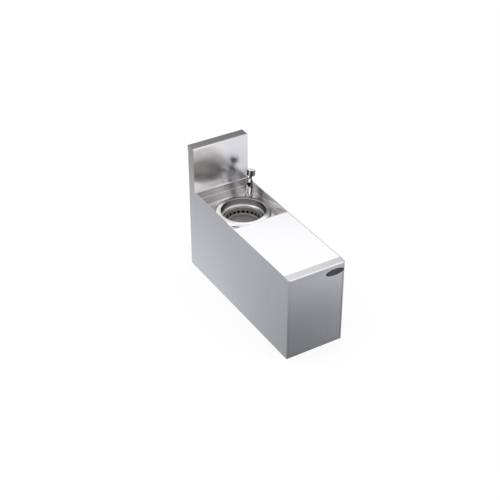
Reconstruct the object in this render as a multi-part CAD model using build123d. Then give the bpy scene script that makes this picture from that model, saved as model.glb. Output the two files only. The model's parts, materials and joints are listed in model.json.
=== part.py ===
from build123d import *
import math
import os

# Overall sizes, in millimetres. X runs to the right, Y to the back, Z up.
width = 203.2
depth = 609.6
height = 462.0
deck_height = 298.0
splash_depth = 38.1

# Sheet metal
sheet = 1.2
bend_radius = 3.0
seam_gap = 0.3
overrun = 20.0

# Side panels
front_return = 6.0
rear_return = 15.0
bottom_return = 18.0
splash_return = 12.0
hem_depth = 12.0
hem_rise = 0.8
hem_round = 0.8

# Work top
nosing_length = 25.4
nosing_drop = 2.8
front_turn = 12.0
lap_depth = 10.0

# Front panel
panel_return = 12.0
panel_edge_radius = 1.5

# Recess pan
recess_depth = 28.0
pan_corner_radius = 3.0
pan_bead_radius = 1.8

# Backsplash
splash_lap = 12.0
cap_turn = 20.0
cover_height = 205.0

# Base rails and legs' fixings
rail_width = 40.0
rail_height = 25.0
leg_inset = 31.6
leg_hole_radius = 5.1
leg_nut_flats = 17.0
leg_nut_height = 8.0

# Under the work top
stiffener_width = 30.0
stiffener_height = 20.0
stiffener_end_gap = 5.4
stiffener_setback = 132.0
pad_side_gap = 26.6
pad_front_gap = 40.0
pad_thickness = 3.0
pad_corner_radius = 10.0
pad_gap = 8.0

# Blank plate
plate_length = 66.0
plate_height = 22.0
plate_thickness = 0.8
plate_edge = 0.4
plate_inset = 3.0
plate_drop = 15.6

# Bowl
bowl_front_gap = 15.5
bowl_back_gap = 49.2
bowl_sheet = 1.0
flange_side_gap = 6.0
flange_skirt = 6.0
flange_width = 19.3
flange_rise = 5.8
flange_fall = 0.9
bowl_wall_drop = 26.5
ledge_width = 7.3
well_drop = 57.0
sump_radius = 33.0
sump_slope = 2.0
sump_drop = 2.5
flange_dome = 9.0
lip_bend = 1.3
cove_bend = 5.0
ledge_bend = 2.2
well_bend = 7.0
sump_bend = 1.2
support_radius = 5.0
support_count = 4
support_setback = 13.0

# Bowl fixings
gasket_thickness = 1.0
gasket_width = 12.0
bowl_hole_clearance = 1.3
ring_clearance = 0.25
ring_width = 12.0
ring_plate = 2.0
ring_collar = 2.5
ring_height = 12.0
set_screw_count = 3
set_screw_radius = 2.0
set_screw_length = 9.0
set_screw_socket = 2.0
set_screw_socket_depth = 3.0
set_screw_drop = 8.0
thread_clearance = 0.05

# Strainer basket
basket_clearance = 2.6
basket_rim_tube = 1.4
basket_rim_drop = 27.0
basket_height = 25.0
basket_taper = 3.4
basket_floor_bend = 5.0
basket_sheet = 1.0
basket_hole_radius = 4.0
basket_hole_count = 24
basket_hole_height = 8.8

# Drain
drain_bore = 18.5
drain_radius = 21.5
drain_flange_radius = 30.0
drain_flange_thickness = 2.0
drain_length = 48.0
drain_bar = 3.0
drain_clearance = 0.1
drain_gasket_width = 7.5
drain_gasket_thickness = 2.5
drain_washer_thickness = 1.0
drain_nut_flats = 58.0
drain_nut_height = 9.0
slip_washer_thickness = 1.5
tail_radius = 19.05
tail_wall = 1.2
tail_length = 95.0
tail_neck_radius = 19.4
tail_flange_radius = 21.3
tail_flange_thickness = 1.5
slip_nut_flats = 52.0
slip_nut_height = 21.0
slip_nut_lip = 5.0

# Faucet place, from the recess's side wall and from the backsplash
faucet_bearing = 49.0
faucet_gap = 0.4
faucet_lean = 13.0
lean_bearing = 30.0
spout_turn = 30.0

# Faucet base
flange_base_radius = 12.9
flange_top_radius = 10.2
flange_height = 5.5
flange_step = 1.5
flange_seal = 1.0
shank_radius = 8.0
shank_bore = 4.5
shank_length = 60.0
shank_end_radius = 7.5
shank_thread_reach = 2.0
shank_clearance = 0.3
spigot_radius = 6.0
spigot_length = 3.5
shank_washer_radius = 15.0
shank_washer_thickness = 2.0
shank_nut_flats = 27.0
shank_nut_height = 8.0

# Faucet body
globe_radius = 10.8
globe_rise = 5.5
barrel_radius = 10.5
barrel_height = 24.0
throat_radius = 8.4
throat_height = 3.0
cavity_radius = 7.4
cavity_floor = 6.0
waterway_radius = 3.2
boss_radius = 7.0
boss_length = 13.0
boss_height = 14.0
spout_radius = 6.0
spout_bore = 4.2
spout_run = 30.0
spout_drop_length = 13.0
spout_drop_angle = 60.0
spout_bend = 7.0
spout_collar_length = 2.5
spout_seat = 10.0
spout_seal_thickness = 1.2
spout_clearance = 0.05

# Valve
valve_clearance = 0.05
cartridge_clearance = 0.1
seal_thickness = 1.5
seal_bore = 3.2
disc_radius = 5.85
disc_thickness = 2.0
disc_port_radius = 1.7
disc_port_offset = 3.4
cartridge_bore = 6.0
cartridge_chamber = 15.0
cartridge_flange_radius = 8.2
cartridge_flange_thickness = 1.5
cartridge_port = 5.0
stem_radius = 4.0
stem_foot_radius = 5.5
stem_foot_height = 2.4
stem_grip = 9.0
stem_seal_height = 19.0
stem_seal_thickness = 1.8
stem_seal_radius = 5.2

# Bonnet
bonnet_flats = 18.8
bonnet_round = 9.9
bonnet_skirt = 6.5
bonnet_ball_radius = 9.0
bonnet_ball_height = 38.0
bonnet_collar_radius = 5.4
bonnet_top = 48.0

# Knob
knob_radius = 13.7
knob_low = 58.5
knob_length = 20.0
knob_neck_radius = 4.9
knob_neck_low = 48.6
knob_edge = 1.4
knob_bore_clearance = 0.02
knob_web = 3.0
knob_counterbore = 5.0
cap_radius = 8.5
cap_thickness = 1.8
cap_edge = 0.4
cap_clearance = 0.05
screw_radius = 2.0
screw_head_radius = 4.0
screw_head_height = 2.5
screw_length = 11.0
screw_slot = 1.0

# Places worked out from the sizes
half_width = width / 2
front_y = -depth / 2 + plate_thickness
back_y = depth / 2
splash_y = back_y - splash_depth
bend_mid = bend_radius - sheet / 2
deck_under = deck_height - sheet
hem_top = deck_height + hem_rise
nosing_y = front_y + nosing_length
front_top = deck_height - nosing_drop
hem_inner = half_width - 2 * sheet
pan_inner = hem_inner - sheet
flange_radius = pan_inner - flange_side_gap
bowl_y = splash_y - bowl_back_gap - flange_radius
recess_y = bowl_y - flange_radius - bowl_front_gap
pan_floor = deck_height - recess_depth
pan_under = pan_floor - sheet
stiffener_y = recess_y - stiffener_setback
front_rail_y = front_y + panel_return + rail_width / 2
leg_x = half_width - leg_inset
rear_rail_y = back_y - bend_radius - seam_gap - rail_width / 2

bowl_seat = pan_floor + gasket_thickness
bowl_radius = flange_radius - flange_width
well_radius = bowl_radius - ledge_width
basket_rim_radius = well_radius - basket_clearance - basket_rim_tube
basket_floor_radius = basket_rim_radius - basket_taper
bowl_crest = bowl_seat + flange_rise
bowl_outer = bowl_radius + bowl_sheet
ledge_z = bowl_crest - bowl_wall_drop
well_floor = bowl_crest - well_drop
sump_z = well_floor - sump_slope
sump_floor = sump_z - sump_drop
sump_under = sump_floor - bowl_sheet
basket_rim_z = bowl_crest - basket_rim_drop
basket_floor = basket_rim_z - basket_height
drain_low = sump_floor - drain_length
tail_top = drain_low - slip_washer_thickness
tail_low = tail_top - tail_length

faucet_reach = flange_radius + faucet_gap + flange_base_radius
faucet_x = faucet_reach * math.cos(math.radians(faucet_bearing))
faucet_y = bowl_y + faucet_reach * math.sin(math.radians(faucet_bearing))
lean = math.radians(faucet_lean)
lean_x = math.cos(math.radians(lean_bearing))
lean_y = math.sin(math.radians(lean_bearing))
body_seat = pan_floor + flange_seal + flange_height
pivot_z = body_seat + globe_rise
barrel_top = barrel_height + throat_height
stem_foot_low = cavity_floor + seal_thickness + 2 * disc_thickness + valve_clearance
stem_top = knob_low + stem_grip
knob_top = knob_low + knob_length

# Frames that the bowl's and the faucet's pieces are built in
bowl_place = Pos(0, bowl_y, 0)
faucet_place = Pos(faucet_x, faucet_y, 0)
valve_place = Plane(
    origin=(faucet_x, faucet_y, pivot_z),
    x_dir=(-lean_x * math.cos(lean), -lean_y * math.cos(lean), math.sin(lean)),
    z_dir=(lean_x * math.sin(lean), lean_y * math.sin(lean), math.cos(lean)),
).location
spout_place = valve_place * Rot(0, 0, spout_turn) * Pos(0, 0, boss_height)


# Shapes that several pieces use
def slab(x_low, x_high, y_low, y_high, z_low, z_high):
    """Block between two opposite corners."""
    block = Box(x_high - x_low, y_high - y_low, z_high - z_low)
    return Pos((x_low + x_high) / 2, (y_low + y_high) / 2, (z_low + z_high) / 2) * block


def rod(radius, low, high):
    """Round bar about Z between two heights."""
    return Pos(0, 0, (low + high) / 2) * Cylinder(radius, high - low)


def tube(outer, inner, low, high):
    """Round tube about Z between two heights."""
    return rod(outer, low, high) - rod(inner, low - overrun, high + overrun)


def hexagon(flats, low, high):
    """Hexagonal bar about Z between two heights."""
    face = RegularPolygon(radius=flats / 2, side_count=6, major_radius=False)
    return Pos(0, 0, low) * extrude(face, amount=high - low)


def bent_sheet(points, length):
    """Sheet whose middle line runs through points of the Y-Z plane, with a length along X."""
    line = FilletPolyline(*points, radius=bend_mid)
    return extrude(Plane.YZ * trace(line, sheet), amount=length / 2, both=True)


def spun_shell(points, radii, thickness):
    """Shell of revolution about Z whose middle line runs through (radius, height) points."""
    line = FilletPolyline(*points, radius=radii)
    return revolve(Plane.XZ * trace(line, thickness), axis=Axis.Z)


def around(piece, count, radius, turn=0.0):
    """Copies of a piece at equal steps round Z, each moved out along its own X."""
    step = 360 / count
    return [Rot(0, 0, turn + step * i) * Pos(radius, 0, 0) * piece for i in range(count)]


# Cabinet
def side_panel():
    """Right side panel: wall with upright returns, cut to the side profile, and its flanges."""
    wall_line = FilletPolyline(
        (half_width - front_return, front_y + sheet / 2),
        (half_width - sheet / 2, front_y + sheet / 2),
        (half_width - sheet / 2, back_y - sheet / 2),
        (half_width - rear_return, back_y - sheet / 2),
        radius=bend_mid,
    )
    cap_low = height - cap_turn - seam_gap
    corners = [
        (front_y, 0, 0),
        (back_y, 0, 0),
        (back_y, cap_low, 0),
        (back_y - sheet, cap_low, 0),
        (back_y - sheet, height - sheet, bend_radius),
        (splash_y + sheet, height - sheet, bend_radius),
        (splash_y + sheet, hem_top, 0),
        (nosing_y, hem_top, 0),
        (front_y, hem_top - nosing_drop, bend_radius),
    ]
    outline = FilletPolyline(
        *[(y, z) for y, z, _ in corners], radius=[r for _, _, r in corners], close=True
    )
    profile = extrude(Plane.YZ * make_face(outline), amount=width, both=True)
    panel = extrude(trace(wall_line, sheet), amount=height) & profile

    inner = half_width - sheet
    panel += slab(inner - bottom_return, inner, front_y + rear_return, back_y - rear_return, 0, sheet)
    panel += slab(
        inner - splash_return, inner, splash_y + sheet, splash_y + 2 * sheet,
        hem_top, height - bend_radius - sheet,
    )

    hem_front = front_y + bend_radius
    front_drop = nosing_drop * (nosing_length - bend_radius) / nosing_length
    hem_face = make_face(Polyline(
        (hem_front, hem_top - front_drop),
        (nosing_y, hem_top),
        (splash_y, hem_top),
        (splash_y, hem_top - hem_depth),
        (nosing_y, hem_top - hem_depth),
        (hem_front, hem_top - front_drop - hem_depth),
        close=True,
    ))
    panel += Pos(hem_inner, 0, 0) * extrude(Plane.YZ * hem_face, amount=sheet)

    top_edges = [
        e for e in panel.edges().filter_by(Axis.Y)
        if abs(e.center().Z - hem_top) < seam_gap and e.center().X > half_width - seam_gap
    ]
    return fillet(top_edges, radius=hem_round)


def work_top():
    """Flat deck, its nosing and front turn-down, and the turn-down into the recess."""
    lap_y = recess_y - sheet / 2
    top_z = deck_height - sheet / 2
    nose_y = front_y + sheet / 2
    top = bent_sheet(
        [
            (lap_y, deck_height - lap_depth),
            (lap_y, top_z),
            (nosing_y, top_z),
            (nose_y, front_top - sheet / 2),
            (nose_y, front_top - front_turn),
        ],
        2 * hem_inner,
    )
    notch_x = half_width - front_return - seam_gap
    lap_x = pan_inner - pan_corner_radius
    for side in (-1, 1):
        low, high = sorted((side * notch_x, side * half_width))
        top -= slab(low, high, front_y - overrun, front_y + sheet + seam_gap, 0, height)
        low, high = sorted((side * lap_x, side * half_width))
        top -= slab(low, high, lap_y - sheet, recess_y + overrun, 0, deck_height - bend_radius)
    return top


def front_panel():
    """Shallow tray that closes the front between the side panels' returns."""
    half = half_width - front_return - seam_gap
    top = front_top - front_turn - seam_gap
    tray = slab(-half, half, front_y, front_y + panel_return, seam_gap, top)
    tray = fillet(tray.edges().filter_by(Axis.Z).sort_by(Axis.Y)[:2], radius=panel_edge_radius)
    return tray - slab(
        sheet - half, half - sheet, front_y + sheet, front_y + panel_return + overrun,
        seam_gap + sheet, top - sheet,
    )


def tray_block(grow, low):
    """Block of the recess, grown by a thickness, with rounded upright and floor edges."""
    half = pan_inner + grow
    block = slab(
        -half, half, recess_y - sheet - grow, splash_y - sheet + grow, low, deck_height + overrun
    )
    radius = pan_corner_radius + grow
    block = fillet(block.edges().filter_by(Axis.Z), radius=radius)
    return fillet(block.faces().sort_by(Axis.Z)[0].edges(), radius=radius)


def recess_pan():
    """Tray behind the work top: holes in its floor, a bead along its back wall's top."""
    pan = tray_block(sheet, pan_under) - tray_block(0, pan_floor)
    bead = Rot(0, 90, 0) * rod(pan_bead_radius, -pan_inner, pan_inner)
    bead = Pos(0, splash_y - sheet, deck_height - pan_bead_radius) * bead
    pan += bead - slab(-width, width, splash_y, back_y, 0, height)
    pan -= slab(-width, width, front_y, back_y, deck_height, deck_height + 2 * overrun)
    pan -= slab(
        -width, width, front_y, recess_y + seam_gap, deck_height - bend_radius - seam_gap, height
    )
    hole_low = pan_under - overrun
    pan -= bowl_place * rod(bowl_outer + bowl_hole_clearance, hole_low, deck_height)
    pan -= faucet_place * rod(shank_radius + shank_clearance, hole_low, deck_height)
    return pan


def backsplash():
    """Face sheet, cap and rear turn-down in one sheet, narrowed where it laps into the cabinet."""
    face_y = splash_y + sheet / 2
    cap_z = height - sheet / 2
    panel = bent_sheet(
        [
            (face_y, deck_height - splash_lap),
            (face_y, cap_z),
            (back_y - sheet / 2, cap_z),
            (back_y - sheet / 2, height - cap_turn),
        ],
        width,
    )
    for side in (-1, 1):
        low, high = sorted((side * hem_inner, side * width))
        panel -= slab(low, high, front_y, splash_y + sheet + seam_gap, 0, hem_top)
    return panel


def back_cover():
    """Flat sheet that closes the backsplash's hollow from behind."""
    half = half_width - bend_radius - seam_gap
    top = height - bend_radius - seam_gap
    return slab(-half, half, back_y - 2 * sheet, back_y - sheet, top - cover_height, top)


def base_rail(middle_y):
    """Cross channel between the side panels, with two leg holes in its web."""
    half_rail = (rail_width - sheet) / 2
    rail = bent_sheet(
        [
            (middle_y - half_rail, rail_height),
            (middle_y - half_rail, sheet / 2),
            (middle_y + half_rail, sheet / 2),
            (middle_y + half_rail, rail_height),
        ],
        width - 2 * sheet,
    )
    notch_x = half_width - sheet - bottom_return
    for side in (-1, 1):
        low, high = sorted((side * notch_x, side * width))
        rail -= slab(low, high, middle_y - rail_width, middle_y + rail_width, -overrun, sheet)
        rail -= Pos(side * leg_x, middle_y, 0) * rod(leg_hole_radius, -overrun, overrun)
    return rail


def leg_weld_nuts():
    """Four hexagonal nuts over the leg holes."""
    nut = hexagon(leg_nut_flats, sheet, sheet + leg_nut_height) - rod(leg_hole_radius, 0, overrun)
    places = [(x, y) for x in (-leg_x, leg_x) for y in (front_rail_y, rear_rail_y)]
    return Compound(children=[Pos(x, y, 0) * nut for x, y in places])


def deck_stiffener():
    """Channel across the underside of the work top."""
    half = (stiffener_width - sheet) / 2
    top_z = deck_under - sheet / 2
    low_z = deck_under - stiffener_height
    points = [
        (stiffener_y - half, low_z), (stiffener_y - half, top_z),
        (stiffener_y + half, top_z), (stiffener_y + half, low_z),
    ]
    return bent_sheet(points, 2 * (half_width - sheet - stiffener_end_gap))


def sound_pad():
    """Damping pad stuck under the work top in front of the stiffener."""
    half = half_width - pad_side_gap
    pad_back = stiffener_y - stiffener_width / 2 - pad_gap
    pad = slab(
        -half, half, front_y + pad_front_gap, pad_back, deck_under - pad_thickness, deck_under
    )
    return fillet(pad.edges().filter_by(Axis.Z), radius=pad_corner_radius)


def blank_plate():
    """Small bare oval plate on the front panel."""
    middle_x = half_width - plate_inset - plate_length / 2
    middle_z = front_top - plate_drop - plate_height / 2
    face = Ellipse(plate_length / 2, plate_height / 2)
    plate = Pos(middle_x, front_y, middle_z) * (Plane.XZ * extrude(face, amount=plate_thickness))
    return fillet(plate.faces().sort_by(Axis.Y)[0].edges(), radius=plate_edge)


# Bowl and basket
def bowl():
    """Drawn bowl: domed flange, straight wall, ledge, well, and a sump round the drain hole."""
    half = bowl_sheet / 2
    wall = bowl_radius + half
    points = [
        (flange_radius - half, bowl_seat + half),
        (flange_radius - flange_skirt, bowl_crest - flange_fall - half),
        (wall, bowl_crest - half),
        (wall, ledge_z - half),
        (well_radius + half, ledge_z - half),
        (well_radius + half, well_floor - half),
        (sump_radius, sump_z - half),
        (sump_radius - sump_drop, sump_floor - half),
        (drain_radius + drain_clearance, sump_floor - half),
    ]
    radii = [
        0, flange_dome, lip_bend, cove_bend, ledge_bend, well_bend, sump_bend, sump_bend, 0,
    ]
    shell = spun_shell(points, radii[1:-1], bowl_sheet)
    pad_low = well_floor - half - sump_slope
    support = rod(support_radius, pad_low, basket_floor - basket_sheet)
    support_place = well_radius - support_setback
    under = spun_shell_below(points)
    for piece in around(support, support_count, support_place, turn=faucet_bearing):
        shell += piece - under
    return bowl_place * shell


def spun_shell_below(points):
    """Space under the well's floor, which trims the supports that stand on it."""
    half = bowl_sheet / 2
    edge, sump = points[5], points[6]
    outline = Polyline(
        (0, sump[1] - overrun), (edge[0], sump[1] - overrun),
        (edge[0], edge[1] - half / 2), (sump[0], sump[1] - half / 2),
        (0, sump[1] - half / 2), close=True,
    )
    return revolve(Plane.XZ * make_face(outline), axis=Axis.Z)


def bowl_gasket():
    """Flat ring between the pan's floor and the bowl's flange."""
    return bowl_place * tube(flange_radius, flange_radius - gasket_width, pan_floor, bowl_seat)


def bowl_clamp_ring():
    """Angle ring that is pushed up the bowl to the pan's floor, with tapped holes in its collar."""
    inner = bowl_outer + ring_clearance
    ring = tube(inner + ring_width, inner, pan_under - ring_plate, pan_under)
    ring += tube(inner + ring_collar, inner, pan_under - ring_height, pan_under)
    hole = Rot(0, 90, 0) * Cylinder(set_screw_radius + thread_clearance, overrun)
    hole_z = pan_under - set_screw_drop
    for cut in around(Pos(0, 0, hole_z) * hole, set_screw_count, inner, turn=faucet_bearing):
        ring -= cut
    return bowl_place * ring


def clamp_screws():
    """Three set screws with hexagonal sockets, pressed against the bowl's wall."""
    screw = rod(set_screw_radius, 0, set_screw_length)
    socket_low = set_screw_length - set_screw_socket_depth
    screw -= hexagon(set_screw_socket, socket_low, set_screw_length + overrun)
    screw = Pos(0, 0, pan_under - set_screw_drop) * Rot(0, 90, 0) * screw
    tip = bowl_outer + ring_clearance / 2
    copies = around(screw, set_screw_count, tip, turn=faucet_bearing)
    return Compound(children=[bowl_place * copy for copy in copies])


def strainer_basket():
    """Lift-out basket with a rolled rim and one row of round holes."""
    half = basket_sheet / 2
    rim_z = basket_rim_z - basket_rim_tube
    points = [
        (basket_rim_radius, rim_z),
        (basket_floor_radius, basket_floor - half),
        (0, basket_floor - half),
    ]
    shell = spun_shell(points, [basket_floor_bend], basket_sheet)
    shell += Pos(0, 0, rim_z) * Torus(basket_rim_radius, basket_rim_tube)
    hole = Pos(0, 0, basket_floor + basket_hole_height) * Rot(0, 90, 0)
    hole = hole * Cylinder(basket_hole_radius, overrun / 2)
    for cut in around(hole, basket_hole_count, basket_floor_radius):
        shell -= cut
    return bowl_place * shell


# Drain
def drain_body():
    """Flanged outlet with a crossbar, set in the bowl's sump."""
    seat = sump_floor
    body = tube(drain_flange_radius, drain_bore, seat, seat + drain_flange_thickness)
    body += tube(drain_radius, drain_bore, drain_low, seat)
    bar = slab(
        -drain_bore - sheet, drain_bore + sheet, -drain_bar / 2, drain_bar / 2,
        seat - drain_flange_thickness, seat,
    )
    body += bar + Rot(0, 0, 90) * bar
    return bowl_place * body


def drain_gasket():
    """Rubber ring under the sump."""
    inner = drain_radius + drain_clearance
    low = sump_under - drain_gasket_thickness
    return bowl_place * tube(inner + drain_gasket_width, inner, low, sump_under)


def drain_washer():
    """Friction washer between the rubber ring and the nut."""
    inner = drain_radius + drain_clearance
    high = sump_under - drain_gasket_thickness
    return bowl_place * tube(inner + drain_gasket_width, inner, high - drain_washer_thickness, high)


def drain_locknut():
    """Hexagonal nut that pulls the outlet down on the sump."""
    high = sump_under - drain_gasket_thickness - drain_washer_thickness
    low = high - drain_nut_height
    bore = rod(drain_radius + drain_clearance, low - overrun, high + overrun)
    return bowl_place * (hexagon(drain_nut_flats, low, high) - bore)


def tailpiece():
    """Outlet tube with a flared top and a slightly wider neck in the slip nut."""
    bore = tail_radius - tail_wall
    lip_top = tail_top - tail_flange_thickness
    tail = tube(tail_radius, bore, tail_low, tail_top)
    tail += tube(tail_neck_radius, bore, lip_top - slip_nut_lip, tail_top)
    tail += tube(tail_flange_radius, bore, lip_top, tail_top)
    return bowl_place * tail


def slip_washer():
    """Ring between the outlet and the tailpiece's flare."""
    return bowl_place * tube(tail_flange_radius, drain_bore, tail_top, drain_low)


def slip_nut():
    """Hexagonal nut that holds the tailpiece up to the outlet."""
    lip_top = tail_top - tail_flange_thickness
    low = lip_top - slip_nut_lip
    nut = hexagon(slip_nut_flats, low, low + slip_nut_height)
    nut -= rod(tail_neck_radius + drain_clearance, low - overrun, lip_top)
    nut -= rod(drain_radius + drain_clearance, lip_top, low + slip_nut_height + overrun)
    return bowl_place * nut


# Faucet base
def flange_gasket():
    """Thin seal under the faucet's flange."""
    inner = shank_radius + shank_clearance
    return faucet_place * tube(flange_base_radius, inner, pan_floor, pan_floor + flange_seal)


def faucet_flange():
    """Domed flange that the faucet's body stands on."""
    low = pan_floor + flange_seal
    inner = shank_radius + shank_clearance
    dome = JernArc(
        (flange_base_radius, low + flange_step), (0, 1), flange_base_radius - flange_top_radius, 90
    )
    shoulder = dome @ 1
    outline = Polyline(
        shoulder, (flange_top_radius, body_seat), (inner, body_seat), (inner, low),
        (flange_base_radius, low), dome @ 0,
    )
    face = make_face([dome, outline])
    return faucet_place * revolve(Plane.XZ * face, axis=Axis.Z)


def inlet_shank():
    """Threaded inlet tube with a plain lower end and a spigot that screws into the body."""
    nut_low = pan_under - shank_washer_thickness - shank_nut_height
    shank = tube(shank_end_radius, shank_bore, body_seat - shank_length, body_seat)
    shank += tube(shank_radius, shank_bore, nut_low - shank_thread_reach, body_seat)
    shank += tube(spigot_radius, shank_bore, body_seat, body_seat + spigot_length)
    return faucet_place * shank


def shank_washer():
    """Washer under the pan's floor."""
    inner = shank_radius + shank_clearance
    low = pan_under - shank_washer_thickness
    return faucet_place * tube(shank_washer_radius, inner, low, pan_under)


def shank_locknut():
    """Nut that pulls the faucet down on the pan's floor."""
    high = pan_under - shank_washer_thickness
    low = high - shank_nut_height
    bore = rod(shank_radius + thread_clearance, low - overrun, high + overrun)
    return faucet_place * (hexagon(shank_nut_flats, low, high) - bore)


# Faucet body and spout
def faucet_body():
    """Casting: globe on the flange, leaning barrel, spout boss and the waterways in them."""
    body = Pos(faucet_x, faucet_y, pivot_z) * Sphere(globe_radius)
    body += valve_place * rod(barrel_radius, 0, barrel_height)
    body += valve_place * rod(throat_radius, barrel_height - sheet, barrel_top)
    body += spout_place * Rot(0, 90, 0) * rod(boss_radius, 0, boss_length)
    body -= faucet_place * rod(barrel_radius + overrun, body_seat - overrun, body_seat)
    body -= faucet_place * rod(spigot_radius + thread_clearance, 0, body_seat + spigot_length)
    body -= faucet_place * rod(waterway_radius, body_seat, pivot_z)
    body -= valve_place * rod(waterway_radius, 0, cavity_floor + overrun)
    body -= valve_place * rod(cavity_radius, cavity_floor, barrel_top + overrun)
    socket = Rot(0, 90, 0) * rod(
        spout_radius + spout_clearance, spout_seat - spout_seal_thickness, boss_length + overrun
    )
    body -= spout_place * socket
    body -= spout_place * Rot(0, 90, 0) * rod(waterway_radius, stem_foot_radius, boss_length)
    return body


def spout():
    """Short elbow spout with a collar that seats on the body's boss."""
    drop = math.radians(spout_drop_angle)
    end = (spout_run + spout_drop_length * math.cos(drop), 0, -spout_drop_length * math.sin(drop))
    path = FilletPolyline((spout_seat, 0, 0), (spout_run, 0, 0), end, radius=spout_bend)
    start = Plane(origin=(spout_seat, 0, 0), z_dir=(1, 0, 0))
    pipe = sweep(start * Circle(spout_radius), path=path)
    pipe += Rot(0, 90, 0) * rod(boss_radius, boss_length, boss_length + spout_collar_length)
    return spout_place * (pipe - sweep(start * Circle(spout_bore), path=path))


def spout_seal():
    """Ring at the bottom of the spout's socket."""
    ring = tube(spout_radius, spout_bore, spout_seat - spout_seal_thickness, spout_seat)
    return spout_place * Rot(0, 90, 0) * ring


# Valve
def seat_seal():
    """Rubber seat under the fixed disc."""
    top = cavity_floor + seal_thickness
    return valve_place * tube(disc_radius, seal_bore, cavity_floor, top)


def valve_disc(low, turn):
    """Ceramic disc with one port off its centre."""
    port = Rot(0, 0, turn) * Pos(disc_port_offset, 0, 0)
    port = port * rod(disc_port_radius, low - overrun, low + disc_thickness + overrun)
    return valve_place * (rod(disc_radius, low, low + disc_thickness) - port)


def fixed_disc():
    """Lower disc, which stays with the body."""
    return valve_disc(cavity_floor + seal_thickness, 0)


def moving_disc():
    """Upper disc, a quarter turn away from the open place at rest."""
    return valve_disc(cavity_floor + seal_thickness + disc_thickness + valve_clearance, -90)


def cartridge():
    """Sleeve that holds the discs and guides the stem, with two side ports."""
    sleeve = rod(cavity_radius - cartridge_clearance, cavity_floor, barrel_top)
    flange_top = barrel_top + cartridge_flange_thickness
    sleeve += rod(cartridge_flange_radius, barrel_top, flange_top)
    sleeve -= rod(cartridge_bore, cavity_floor - overrun, cartridge_chamber)
    sleeve -= rod(stem_radius + valve_clearance, 0, flange_top + overrun)
    seal_low = stem_seal_height - valve_clearance
    seal_high = stem_seal_height + stem_seal_thickness + valve_clearance
    sleeve -= rod(stem_seal_radius + valve_clearance, seal_low, seal_high)
    port_z = cartridge_chamber - cartridge_port / 2
    port = Box(width, cartridge_port, cartridge_port)
    sleeve -= Pos(0, 0, port_z) * Rot(0, 0, spout_turn) * port
    return valve_place * sleeve


def stem_seal():
    """Ring round the stem in the cartridge's groove."""
    top = stem_seal_height + stem_seal_thickness
    ring = tube(stem_seal_radius, stem_radius + valve_clearance, stem_seal_height, top)
    return valve_place * ring


def valve_stem():
    """Stem with a foot that turns the moving disc and a tapped top end."""
    foot_top = stem_foot_low + stem_foot_height
    stem = rod(stem_foot_radius, stem_foot_low, foot_top)
    stem += rod(stem_radius, foot_top, stem_top)
    stem -= rod(screw_radius + thread_clearance, stem_top - screw_length, stem_top + overrun)
    return valve_place * stem


def bonnet():
    """Ball nut over the cartridge: skirt with six flats, ball and a small collar."""
    skirt_top = barrel_height + bonnet_skirt
    nut = hexagon(bonnet_flats, barrel_height, skirt_top)
    nut = nut & rod(bonnet_round, barrel_height, skirt_top)
    nut += Pos(0, 0, bonnet_ball_height) * Sphere(bonnet_ball_radius)
    nut += rod(bonnet_collar_radius, bonnet_ball_height, bonnet_top)
    nut -= rod(throat_radius + thread_clearance, 0, barrel_top)
    flange_top = barrel_top + cartridge_flange_thickness
    nut -= rod(cartridge_flange_radius + thread_clearance, 0, flange_top + valve_clearance)
    nut -= rod(stem_radius + valve_clearance, 0, bonnet_top + overrun)
    return valve_place * nut


def knob():
    """Round knob on a slim neck, counterbored for its screw and cap."""
    handle = rod(knob_radius, knob_low, knob_top)
    handle = fillet(handle.edges().filter_by(GeomType.CIRCLE), radius=knob_edge)
    handle += rod(knob_neck_radius, knob_neck_low, knob_low + knob_edge)
    web_top = stem_top + knob_web
    handle -= rod(stem_radius + knob_bore_clearance, 0, stem_top)
    handle -= rod(screw_radius + thread_clearance, 0, web_top)
    handle -= rod(knob_counterbore, web_top, knob_top)
    handle -= rod(cap_radius + cap_clearance, knob_top - cap_thickness, knob_top + overrun)
    return valve_place * handle


def knob_screw():
    """Slotted screw that holds the knob on the stem."""
    seat = stem_top + knob_web
    head_top = seat + screw_head_height
    screw = rod(screw_radius, seat - screw_length, seat)
    screw += rod(screw_head_radius, seat, head_top)
    slot = Pos(0, 0, head_top) * Box(width, screw_slot, 2 * screw_slot)
    return valve_place * (screw - slot)


def knob_cap():
    """Plain round cap over the screw."""
    cap = rod(cap_radius, knob_top - cap_thickness, knob_top)
    top_edge = cap.edges().filter_by(GeomType.CIRCLE).sort_by(Axis.Z)[-1]
    return valve_place * fillet(top_edge, radius=cap_edge)


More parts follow.
